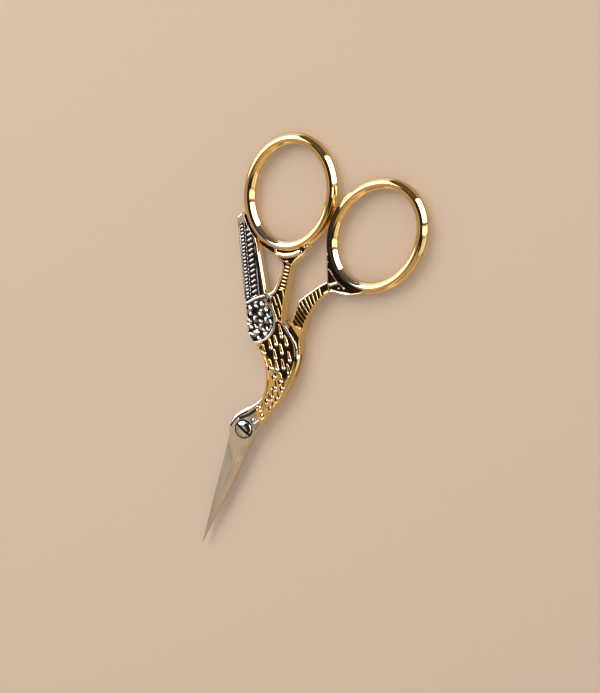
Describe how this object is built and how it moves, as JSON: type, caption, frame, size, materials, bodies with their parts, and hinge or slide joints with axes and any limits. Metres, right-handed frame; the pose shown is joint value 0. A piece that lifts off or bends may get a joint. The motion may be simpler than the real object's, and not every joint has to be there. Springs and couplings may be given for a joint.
{
  "type": "stork embroidery scissors",
  "caption": "Small bird-shaped embroidery scissors: long pointed blades as the beak, slotted pivot screw as the eye, feathered body, wing and tail, two legs and oval finger bows.",
  "frame": {"origin": "on the pivot axis, at the back half's flat land round the screw's end, which is the tool's underside", "axes": "+Z along the pivot axis towards the decorated front and the screw's head, -Y along the closed blades to the tips, +Y towards the bows, +X to the right seen from the front"},
  "size_m": [0.0414, 0.09, 0.004],
  "materials": {
    "gold": "polished gold plate",
    "nickel": "polished nickel plate",
    "steel": "satin ground steel"
  },
  "bodies": {
    "back_half": {"back_blade": "steel", "back_body": "gold", "back_leg": "gold", "back_bow": "gold", "pivot_screw": "nickel"},
    "front_half": {"front_blade": "steel", "front_body": "gold", "front_wing": "nickel", "front_tail": "nickel", "front_leg": "gold", "front_bow": "gold"}
  },
  "joints": [
    {"name": "pivot", "type": "hinge", "parent": "back_half", "child": "front_half", "pos_m": [0, 0, 0.0017], "axis": [0, 0, 1], "range_deg": [0, 70]}
  ]
}
